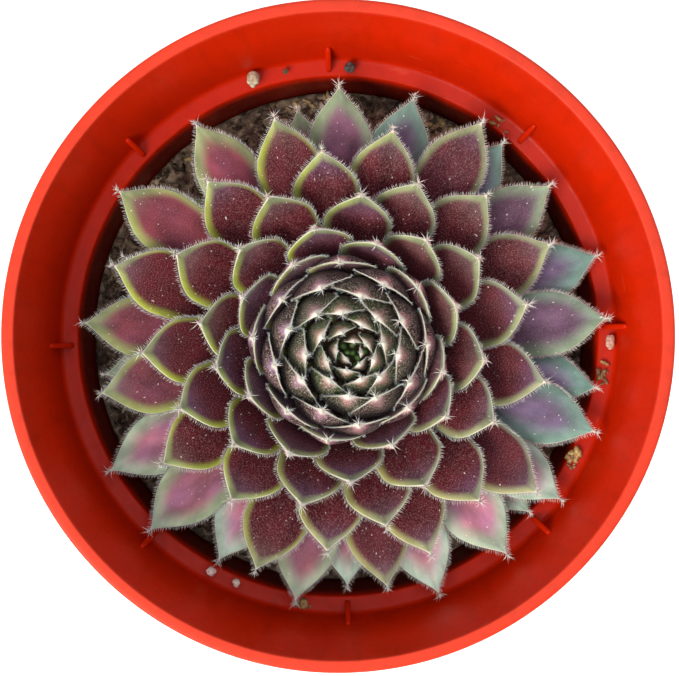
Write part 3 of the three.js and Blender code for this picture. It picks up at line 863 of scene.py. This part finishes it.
def leafMaterial():
    # succulent leaf with a waxy skin and a down of tiny glands: satin, fleshy, speckled white
    material, shader, add = newMaterial(
        "houseleek leaf, waxy and glandular", IOR=1.42, Roughness=0.5, Subsurface_Weight=0.1,
        Subsurface_Radius=(1.0, 0.45, 0.25), Subsurface_Scale=1.0 * mm,
        Specular_IOR_Level=0.18, Sheen_Weight=0.06, Sheen_Roughness=0.4, Sheen_Tint=colour("#e2dcec"))
    middle, margin, band, edge, place, down = (
        add("Attribute", output=output, attribute_name=mark)
        for mark, output in (("middle", "Color"), ("margin", "Color"), ("band", "Fac"),
                             ("edge", "Fac"), ("place", "Vector"), ("down", "Fac")))
    # the green of the margin runs unevenly into the middle, in patches about 2.5 mm across
    mottle = add("TexNoise", {"Vector": place, "Scale": 1 / skin["patchSize"], "Detail": 3.0})
    uneven = add("Math", [mottle, skin["unevenness"], band], operation="MULTIPLY_ADD")
    green = add("MapRange", [uneven, *skin["greenSpan"]], interpolation_type="SMOOTHSTEP")
    face = add("Mix", {0: green, 6: middle, 7: margin}, data_type="RGBA")
    shade = add("MapRange", [mottle, *skin["mottleSpan"], *skin["mottleShades"]])
    surface = add("Mix", {0: 1.0, 6: face, 7: shade}, data_type="RGBA", blend_type="MULTIPLY")
    # glands drawn out along the blade, and here and there a painted glint of a water droplet
    glands = add("TexNoise", {"Vector": place, "Scale": skin["glands"], "Detail": 2.0})
    speckle = add("MapRange", [glands, *skin["glandSpan"], 0.0, down])
    fuzz = add("Mix", {0: down, 6: tints["gland"], 7: tints["down"]}, data_type="RGBA")
    glintNoise = add("TexNoise", {"Vector": place, "Scale": skin["glints"], "Detail": 0.0})
    paintedGlint = add("MapRange", [glintNoise, *skin["glintSpan"], 0.0, skin["glintStrength"]])
    rim = add("MapRange", [edge, *skin["rimSpan"], 0.0, skin["rimStrength"]])
    for share, tint in ((speckle, fuzz), (paintedGlint, tints["dropletGlint"]), (rim, tints["rim"])):
        surface = add("Mix", {0: share, 6: surface, 7: tint}, data_type="RGBA")
    setInputs(shader, {"Base Color": surface, "Normal": add("Bump", {
        "Height": glands, "Strength": skin["reliefStrength"], "Distance": skin["reliefDepth"] * mm})})
    return material


def makeLeaves(name, shapes, material):
    points, faces = [], []
    marks = {key: [] for key in ("edge", "band", "middle", "margin", "place", "down")}
    rows, count = rosette["alongSteps"] + 1, rosette["aroundSteps"]
    for shape in shapes:
        blade, edge, x, upper, place = leafSkin(shape)
        middle, margin, band, down = leafTints(shape, edge, x, upper)
        faces += closedTube(rows, count, len(points))
        points.extend(blade.reshape(-1, 3).tolist())
        for key, values in zip(marks, (edge, band, middle, margin, place, down)):
            marks[key].append(values.reshape(rows * count, -1))
    piece = makePiece(name, points, faces, material, ["houseleek"])
    for key, values in marks.items():
        addMark(piece, key, np.concatenate(values))
    return piece


shapes = [leafShape(leaf) for leaf in range(rosette["leaves"])]
waxySkin = leafMaterial()
for groupName, first, end in (("heartLeaves", 0, 40), ("middleLeaves", 40, 76),
                              ("outerLeaves", 76, rosette["leaves"])):
    makeLeaves(groupName, shapes[first:end], waxySkin)


buds = {
    "count": 10,
    "spread": 0.82,
    "top": 79.3,
    "fall": 0.12,
    "size": (0.6, 0.5, 0.85),
    "growth": 0.14,
    "firstTurn": 40,
    "roughness": 0.1,
    "ball": (8, 12),
}
stem = {
    "sides": 48,
    "smallest": 0.02,  # radius at the two ends
    # radius and height from the heart down
    "profile": ((0, 77.4), (1.6, 77.0), (3.6, 75.6), (5.6, 73.6), (7.2, 71.2), (8.6, 68.4), (9.8, 65.6),
                (10.4, 63.9), (9.2, 62.5), (5.2, 61.6), (3.8, 47.6), (2.4, 33.6), (0, 33.4)),
}


def makeStem(material):
    # the crown that the leaves grow from, and the short stem that goes down into the soil
    points = []
    for radius, height in stem["profile"]:
        points += ringPoints(max(radius, stem["smallest"]), height, stem["sides"], axisAt(height))
    faces = [face[::-1] for face in closedTube(len(stem["profile"]), stem["sides"])]
    return makePiece("crownAndStem", points, faces, material)


def makeBuds(material):
    # the youngest leaves, still rolled up into buds that fill the middle of the heart
    ball = ballPoints(*buds["ball"])
    points, faces, tops = [], [], []
    for i in range(buds["count"]):
        turn = radians(rosette["divergence"] * i + buds["firstTurn"])
        circle = buds["spread"] * sqrt(i)
        height = buds["top"] - buds["fall"] * circle * circle
        grown = 1 + buds["growth"] * circle
        centre = axisAt(buds["top"]) + (circle * cos(turn), circle * sin(turn), height)
        size = np.array(buds["size"]) * grown
        addStone(points, faces, centre, size, turn, i, ball, buds["roughness"])
        tops.append((centre + (0, 0, size[2]), turn))
    makePiece("heartBuds", points, faces, material)
    return tops


# old stem skin is brown, dry and matt, and the soft young leaf dark green with a paler, waxy crown
makeStem(mottledMaterial("houseleek stem, dry skin", "#3c2a20", "#7a6048", 1.5, 4.0, Roughness=0.85))
budTops = makeBuds(mottledMaterial(
    "houseleek bud, soft and waxy", "#1f3c14", "#4c6a34", 0.5, Roughness=0.5, IOR=1.42,
    Subsurface_Weight=0.15, Subsurface_Scale=0.6 * mm))
print("rosette has", rosette["leaves"], "leaves")


hairs = {
    "outerFrom": 60,  # the leaf with which the second piece of margin hairs begins
    "spacing": 0.2,
    "spacingScatter": 0.35,
    "from": 0.3,  # share of the leaf's length where the margin hairs begin
    "until": 0.5,  # short of the tip
    "youngSize": 0.35,  # on the smallest leaves beside the largest
    "length": 0.68,
    "lengthScatter": 0.3,
    "radius": 0.05,
    "lean": 42,  # degrees towards the leaf's tip
    "leanScatter": 18,
    "lift": 0.35,
    "rooted": 0.06,
    "middleAt": 0.55,  # shares of the length and the radius
    "middleRadius": 0.7,
    "tipBend": 0.3,
    "forwardBend": 0.6,
    "faceBend": 0.5,
    "tuftHairs": 11,
    "tuftLength": 1.4,
    "tuftRadius": 0.072,
    "tuftSpread": 44,
    "tuftScatter": 28,
    "tuftTurn": 0.5,
    "tuftRooted": 0.35,
    "tuftLengthScatter": 0.4,
    "tuftBend": (0.6, 0.8),  # outwards, and scattered forwards or back
    "youngTuft": 0.2,
    "tuftGrowth": 1.5,
    "budHairs": 6,
    "budLength": 0.4,
    "budRadius": 0.05,
    "budTurn": 0.4,
    "budRise": 0.5,
    "budRooted": 0.12,
    "budBend": 0.1,
    "mucroLength": 1.0,  # the fine point of the leaf
    "mucroRadius": 0.2,
    "mucroRooted": 0.3,
    "white": "#f6f3ea",
}


def addHair(points, faces, root, direction, bend, length, radius):
    # a three-sided bristle in two lengths, bent over and closed at its root
    direction = direction / np.linalg.norm(direction)
    side = np.cross(direction, bend)
    side /= np.linalg.norm(side) + 1e-9
    other = np.cross(direction, side)
    start = len(points)
    middle = root + direction * length * hairs["middleAt"]
    end = root + direction * length + bend * length * hairs["tipBend"]
    for place, size in ((root - direction * hairs["rooted"], radius),
                        (middle, radius * hairs["middleRadius"])):
        for third in range(3):
            turn = 2 * pi * third / 3
            points.append(tuple(place + (side * cos(turn) + other * sin(turn)) * size))
    points.append(tuple(end))
    a, b, c, d, e, f, tip = range(start, start + 7)
    faces += [(a, b, e, d), (b, c, f, e), (c, a, d, f), (d, e, tip), (e, f, tip), (f, d, tip), (c, b, a)]


def makeMarginHairs(name, shapes, material):
    points, faces = [], []
    for shape in shapes:
        leaf, length = shape["leaf"], shape["stage"]["length"]
        size = hairs["youngSize"] + (1 - hairs["youngSize"]) * shape["scale"]
        frames = np.concatenate([shape[key] for key in ("middle", "face", "forward", "side")], axis=1)
        draw = 0
        for sign in (-1, 1):
            along = length * hairs["from"]
            while along < length - hairs["until"] * shape["scale"]:
                draw += 1
                half, cup = (np.interp(along, shape["along"], shape[key]) for key in ("half", "cup"))
                frameHere = [np.interp(along, shape["along"], line) for line in frames.T]
                middle, face, forward, side = np.array(frameHere).reshape(4, 3)
                root = middle + side * sign * half + face * cup * half ** 2
                lean = radians(hairs["lean"] + hairs["leanScatter"] * scatter(leaf * 7 + draw, 11))
                lift = hairs["lift"] * scatter(leaf * 5 + draw, 12)
                direction = side * sign * cos(lean) + forward * sin(lean) + face * lift
                curl = hairs["faceBend"] * scatter(leaf * 3 + draw, 13)
                bend = forward * hairs["forwardBend"] + face * curl
                hair = hairs["length"] * size * (1 + hairs["lengthScatter"] * scatter(leaf * 11 + draw, 14))
                addHair(points, faces, root, direction, bend, hair, hairs["radius"] * size)
                along += hairs["spacing"] * (1 + hairs["spacingScatter"] * scatter(leaf * 13 + draw, 15))
    return makePiece(name, points, faces, material)


def makeTipTufts(shapes, budTops, material):
    # a star of hairs at each tip, longer and more tangled on the outer leaves, round a fine point
    points, faces = [], []
    bendOut, bendForward = hairs["tuftBend"]
    for shape in shapes:
        leaf, scale = shape["leaf"], shape["scale"]
        size = hairs["youngTuft"] + (1 - hairs["youngTuft"]) * scale ** hairs["tuftGrowth"]
        tip, forward, face, side = (shape[key][-1] for key in ("middle", "forward", "face", "side"))
        addHair(points, faces, tip - forward * hairs["mucroRooted"] * size, forward, face,
                hairs["mucroLength"] * size, hairs["mucroRadius"] * size)
        for i in range(hairs["tuftHairs"]):
            stray = hairs["tuftTurn"] * scatter(leaf * 17 + i, 16)
            turn = 2 * pi * (i + stray) / hairs["tuftHairs"]
            spreadOut = radians(hairs["tuftSpread"] + hairs["tuftScatter"] * scatter(leaf * 19 + i, 17))
            sideways = side * cos(turn) + face * sin(turn)
            direction = forward * cos(spreadOut) + sideways * sin(spreadOut)
            root = tip - forward * hairs["tuftRooted"] * (1 + scatter(leaf * 23 + i, 18)) * size
            length = hairs["tuftLength"] * size * (
                1 + hairs["tuftLengthScatter"] * scatter(leaf * 29 + i, 19))
            bend = sideways * bendOut + forward * bendForward * scatter(leaf * 31 + i, 20)
            addHair(points, faces, root, direction, bend, length, hairs["tuftRadius"] * size)
    for bud, (top, turn) in enumerate(budTops):
        root = top - (0, 0, hairs["budRooted"])
        for i in range(hairs["budHairs"]):
            stray = hairs["budTurn"] * scatter(bud * 37 + i, 21)
            out, _ = outAndAcross(turn + 2 * pi * (i + stray) / hairs["budHairs"])
            direction = out + (0, 0, hairs["budRise"])
            addHair(points, faces, root, direction, direction * hairs["budBend"],
                    hairs["budLength"], hairs["budRadius"])
    return makePiece("tipTufts", points, faces, material)


# dry plant hair: white, glassy at the tip
whiteHair, _, _ = newMaterial(
    "leaf hair, dry and white", Base_Color=colour(hairs["white"]), Roughness=0.45, IOR=1.5,
    Subsurface_Weight=0.3, Subsurface_Scale=0.4 * mm)
makeMarginHairs("marginHairsInner", shapes[:hairs["outerFrom"]], whiteHair)
makeMarginHairs("marginHairsOuter", shapes[hairs["outerFrom"]:], whiteHair)
makeTipTufts(shapes, budTops, whiteHair)
print("margin hairs and tip tufts are on")


mix = {
    "surface": 60.4,
    "relief": 0.75,
    "swell": 0.45,  # share of the relief that is slow, the rest is in clumps
    "gap": 0.3,
    "holeRadius": 5.6,
    "holeBottom": 33,
    "rings": 60,
    "turns": 240,
    "lumps": 0.5,  # height of the fine unevenness
    "lumpsInMm": 0.55,
    "lumpLayer": 3.1,  # the layer of the noise that they are taken from
    "lumpNoise": (0.8, 2.1, 5),
    "lumpEase": 8,  # fades out over one part in so many, at the wall and at the hole
    "holeTaper": 0.7,
    "bevel": 1,
    "crumbs": 1700,
    "crumbSmallest": 0.2,
    "crumbGrowth": 0.75,
    "crumbCircle": 41.6,
    "crumbRarity": 2.5,  # above 1 the big ones are rarer
    "crumbShape": (1.2, 0.6, 0.3, 0.6),  # length, width, scatter of the width, height
    "crumbRest": 0.4,
    "crumbRoughness": 0.5,
    "crumbBall": (5, 8),
    "rarer": ((0.8, "pale"), (0.955, "straw"), (0.988, "chalk")),  # above these shares of all crumbs
    "heapWidth": 2.2,  # along the wall, times the spread
    "ledgeSunk": 0.3,
    "openFrom": 0.36,  # share of the surface hidden under the leaves, left without crumbs
    "fibres": 260,
    "fibreRing": (28, 13),  # from this far out, and how wide
    "fibreLength": (2.4, 1.6),
    "fibreAbove": 0.1,
    "fibreRise": 0.25,
    "fibreDroop": 0.4,
    "fibreByWall": (1.4, 1.2),  # length gained with each millimetre from the wall, and at the wall
    "fibreWall": 42.2,
    "fibreRadius": 0.09,
    "dark": "#2a2019",
    "mid": "#69594c",
    "pale": "#a8967f",
    "straw": "#c8ae70",
    "bark": "#84604c",
    "chalk": "#d6cdbd",
    "stops": ((0.36, "dark"), (0.54, "mid"), (0.72, "pale")),
    "lumpSize": 1.6,
    "threadSpacing": 0.9,
    "threadSpan": (0.62, 0.72),
    "threadStrength": 0.6,
    "poreSize": 0.4,
    "poreSpan": (0.3, 0.7),
    "poreShades": (0.45, 1.25),
}
# dry litter caught at the pot's wall, and crumbs of bark on the ledge; each heap is its place in
# degrees, distance from the middle, spread, how many pieces, and the two tints between which they lie
litters = (
    {"seedStep": 61, "draws": (36, 37), "furthest": 41.6, "bigger": 1.25, "heaps": (
        (66, 40.5, 2.4, 44, "straw", "pale"), (56, 40, 3.0, 36, "straw", "pale"),
        (97, 40.8, 2.4, 14, "straw", "pale"), (30, 40.6, 2.4, 30, "bark", "pale"),
        (12, 41, 1.6, 18, "bark", "pale"), (-17, 41, 2.0, 30, "bark", "pale"),
        (-33, 40.6, 2.0, 34, "bark", "pale"), (247, 40.4, 2.6, 24, "straw", "pale"))},
    {"seedStep": 71, "draws": (39, 40), "furthest": 48, "bigger": 1.0, "heaps": (
        (-27.7, 44.7, 0.8, 30, "bark", "straw"), (-8, 45, 0.9, 16, "bark", "straw"),
        (262.5, 45.6, 0.6, 9, "bark", "straw"), (52, 45, 0.8, 5, "bark", "straw"))},
)


def mixHeight(x, y):
    # the solid's own surface: a slow swell under clumps of about 8 mm
    swell = sin(x * 0.21 + 1.3) * cos(y * 0.17 - 0.6)
    clumps = sin(x * 0.63 + y * 0.41) * sin(y * 0.71 - x * 0.29 + 2.1)
    return mix["surface"] + mix["relief"] * (mix["swell"] * swell + (1 - mix["swell"]) * clumps)


def peatMaterial():
    # damp peat and bark fines: dark, crumbly, fibrous, no shine
    material, shader, add = newMaterial(
        "potting mix, damp peat and bark", Roughness=0.92, Specular_IOR_Level=0.2)
    place = add("TexCoord", output="Object")
    coarse = add("TexNoise", {
        "Vector": place, "Scale": 1 / (mix["lumpSize"] * mm), "Detail": 7.0, "Distortion": 0.8})
    ramp = add("ValToRGB", [coarse])
    stops = ramp.node.color_ramp.elements
    stops.new(mix["stops"][1][0])
    for stop, (position, tint) in zip(stops, mix["stops"]):
        stop.position, stop.color = position, colour(mix[tint])
    threads = add("TexNoise", {
        "Vector": place, "Scale": 1 / (mix["threadSpacing"] * mm), "Detail": 2.0, "Distortion": 3.0})
    thread = add("MapRange", [threads, *mix["threadSpan"], 0.0, mix["threadStrength"]])
    setInputs(shader, {
        "Base Color": add("Mix", {0: thread, 6: ramp, 7: colour(mix["straw"])}, data_type="RGBA"),
        "Normal": add("Bump", {"Height": coarse, "Strength": 0.8, "Distance": 0.5 * mm})})
    return material


def crumbMaterial():
    # loose crumbs of peat, bark, straw and perlite: dry on top, each its own colour
    material, shader, add = newMaterial("loose crumbs, peat and bark", Roughness=0.9, Specular_IOR_Level=0.2)
    tint = add("Attribute", output="Color", attribute_name="tint")
    place = add("TexCoord", output="Object")
    pores = add("TexNoise", {"Vector": place, "Scale": 1 / (mix["poreSize"] * mm), "Detail": 3.0})
    shade = add("MapRange", [pores, *mix["poreSpan"], *mix["poreShades"]])
    setInputs(shader, {
        "Base Color": add("Mix", {0: 1.0, 6: tint, 7: shade}, data_type="RGBA", blend_type="MULTIPLY"),
        "Normal": add("Bump", {"Height": pores, "Strength": 0.7, "Distance": 0.15 * mm})})
    return material


def makeMix(material):
    floorHeight = pot["floorTop"] + mix["gap"]
    edge = bodyInside(mix["surface"] - mix["relief"]) - mix["gap"]
    foot = floorHeight + mix["bevel"]
    rows = [(bodyInside(foot) - mix["gap"], foot, 0.0)]
    for i in range(mix["rings"] + 1):
        share = i / mix["rings"]
        rows.append((edge + (mix["holeRadius"] - edge) * share, None, share))
    rows.append((mix["holeRadius"] * mix["holeTaper"], mix["holeBottom"] - mix["gap"], 1.0))
    points = []
    for radius, height, share in rows:
        ease = min(share * mix["lumpEase"], 1) * min((1 - share) * mix["lumpEase"], 1)
        for x, y, z in ringPoints(radius, height, mix["turns"], np.array(rosette["axis"]) * share):
            if z is None:
                lumps = noise.fractal(Vector((x, y, mix["lumpLayer"])) * mix["lumpsInMm"], *mix["lumpNoise"])
                z = mixHeight(x, y) + mix["lumps"] * lumps * ease
            points.append((x, y, z))
    faces = fannedTube(points, len(rows), mix["turns"], (0, 0, floorHeight),
                       (*rosette["axis"], mix["holeBottom"] - mix["gap"]))
    return makePiece("pottingMix", points, faces, material, ["soil"])


def crumbSpots():
    # where the crumbs lie, as distance and direction, with their tint and how much bigger they are
    shades = {name: np.array(colour(mix[name])) for name in ("dark", "mid", "pale", "straw", "bark", "chalk")}
    mostly = mix["rarer"][0][0]
    for i in range(mix["crumbs"]):
        share = scatterUp(i, 31)
        circle = mix["crumbCircle"] * sqrt(mix["openFrom"] + (1 - mix["openFrom"]) * share)
        draw = scatterUp(i, 35)
        tint = blend(min(draw / mostly, 1), shades["dark"], shades["mid"])
        for above, name in mix["rarer"]:
            if draw > above:
                tint = shades[name]
        yield circle, pi * scatter(i, 32), tint, 1.0
    for litter in litters:
        outDraw, turnDraw = litter["draws"]
        for place, (degrees, circle, spreadOut, count, first, second) in enumerate(litter["heaps"]):
            for seed in range(litter["seedStep"] * place, litter["seedStep"] * place + count):
                away = min(circle + spreadOut * scatter(seed, outDraw), litter["furthest"])
                aside = spreadOut * mix["heapWidth"] * scatter(seed, turnDraw) / circle
                tint = blend(scatterUp(seed, 38), shades[first], shades[second])
                yield away, radians(degrees) + aside, tint, litter["bigger"]


def makeCrumbs(material):
    ball = ballPoints(*mix["crumbBall"])
    points, faces, tintRows = [], [], []
    longer, wide, wideScatter, high = mix["crumbShape"]
    for i, (circle, angle, tint, bigger) in enumerate(crumbSpots()):
        x, y = circle * cos(angle), circle * sin(angle)
        ground = pot["ledgeHeight"] - mix["ledgeSunk"]
        if circle < pot["ledgeInnerRadius"]:
            ground = mixHeight(x, y)
        big = mix["crumbSmallest"] + mix["crumbGrowth"] * scatterUp(i, 33) ** mix["crumbRarity"]
        big *= bigger
        size = np.array([big * longer, big * (wide + wideScatter * scatter(i, 34)), big * high])
        start = len(points)
        centre = (x, y, ground + big * mix["crumbRest"])
        addStone(points, faces, centre, size, pi * scatter(i, 46), i, ball, mix["crumbRoughness"])
        tintRows.append(np.tile(tint, (len(points) - start, 1)))
    piece = makePiece("mixCrumbs", points, faces, material)
    addMark(piece, "tint", np.concatenate(tintRows))
    return piece


def makeFibres(material):
    points, faces = [], []
    inner, ring = mix["fibreRing"]
    usual, longer = mix["fibreLength"]
    gained, least = mix["fibreByWall"]
    for i in range(mix["fibres"]):
        circle = inner + ring * scatterUp(i, 41)
        root = outAndAcross(pi * scatter(i, 42))[0] * circle
        root[2] = mixHeight(root[0], root[1]) + mix["fibreAbove"]
        out, across = outAndAcross(pi * scatter(i, 43))
        direction = out + (0, 0, mix["fibreRise"] + mix["fibreRise"] * scatter(i, 44))
        bend = across - (0, 0, mix["fibreDroop"])
        length = min(usual + longer * scatter(i, 45), (mix["fibreWall"] - circle) * gained + least)
        addHair(points, faces, root, direction, bend, length, mix["fibreRadius"])
    return makePiece("mixFibres", points, faces, material)


makeMix(peatMaterial())
makeCrumbs(crumbMaterial())
# dry moss and root ends are pale straw and fibrous
makeFibres(mottledMaterial("dry moss and root fibre", "#5a4430", "#b39a63", 6, Roughness=0.8))
print("potting mix is filled in")


grit = {
    "grit_pale_stone": ("#cbbfa8", "#8f8064"),
    "grit_dark_stone": ("#5a5552", "#2e2a29"),
    "grit_grain_top": ("#77654f", "#3b3128"),
    "grit_chip_right": ("#dcb9a8", "#a8806e"),
    "grit_grain_low_left": ("#fbeee6", "#e0c8bc"),
    "grit_grain_low_right": ("#fbeee2", "#dcc6b2"),
}
firstSeed = 5
stoneBall = ballPoints(18, 28)
for seed, (nodeName, (pale, dark)) in enumerate(grit.items(), firstSeed):
    low, high = (np.array(corner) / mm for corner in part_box(nodeName))
    points, faces = [], []
    addStone(points, faces, (low + high) / 2, (high - low) / 2, 0, seed, stoneBall)
    # sharp river grit: dry, dull mineral with darker pores about 0.5 mm across
    mineral = mottledMaterial(nodeName + ", dry river grit", dark, pale, 0.5, 5.0, (0.35, 0.65), (0.6, 0.1),
                              Roughness=0.8)
    makePiece(nodeName + "_finished", points, faces, mineral, [nodeName])
print("grit is on the ledge")
